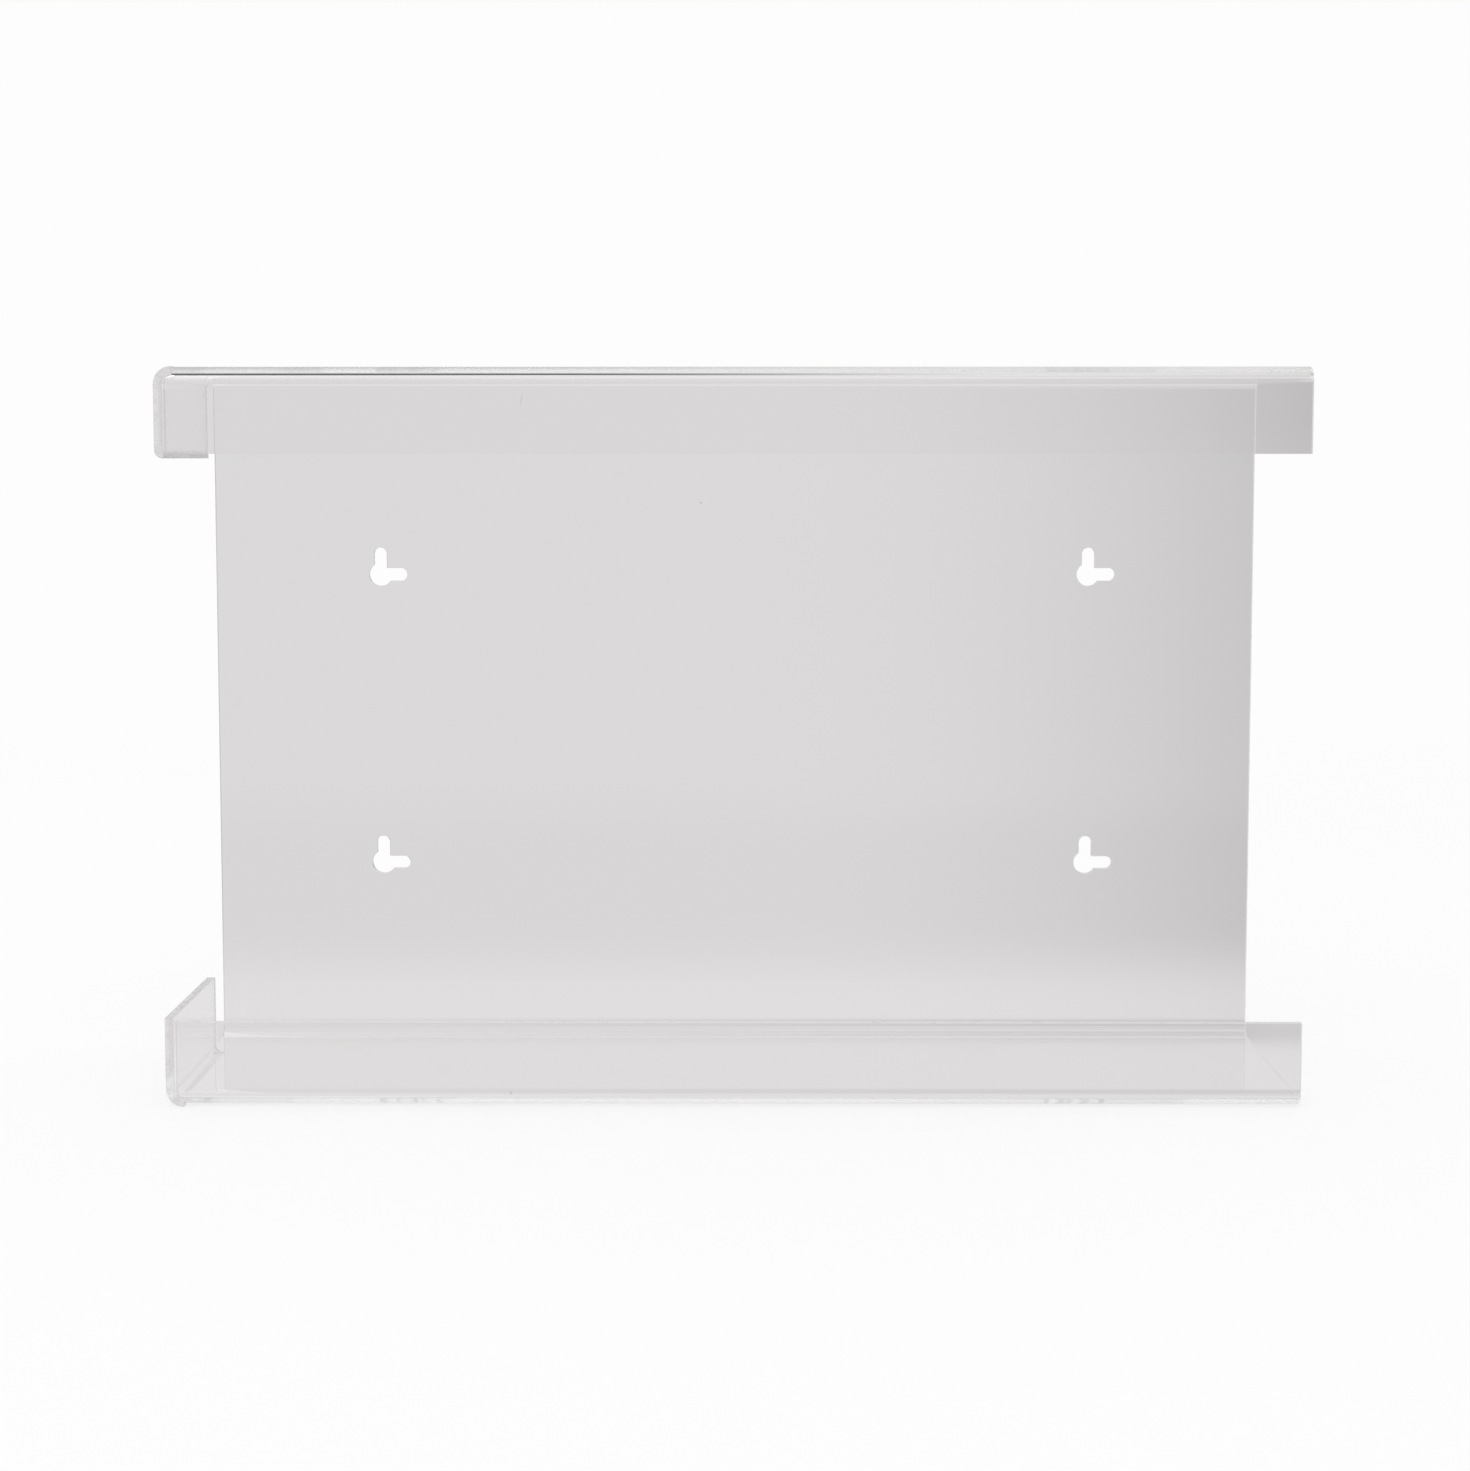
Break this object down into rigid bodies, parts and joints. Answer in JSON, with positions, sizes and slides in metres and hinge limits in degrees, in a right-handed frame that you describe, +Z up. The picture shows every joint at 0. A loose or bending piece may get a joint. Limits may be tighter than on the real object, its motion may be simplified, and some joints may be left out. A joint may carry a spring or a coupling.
{
  "type": "disposable glove dispenser",
  "caption": "Clear wall holder folded from one sheet, with upper and lower channels that keep boxes of disposable gloves side by side, open at one end for loading.",
  "frame": {"origin": "on the back panel's rear face, at the middle of the four keyholes", "axes": "+Y into the wall, +Z up, +X from the closed end to the open end"},
  "size_m": [0.385, 0.1, 0.25],
  "materials": {
    "clear_sheet": "clear polished acrylic sheet"
  },
  "bodies": {
    "root": {"folded_sheet": "clear_sheet"}
  },
  "joints": []
}
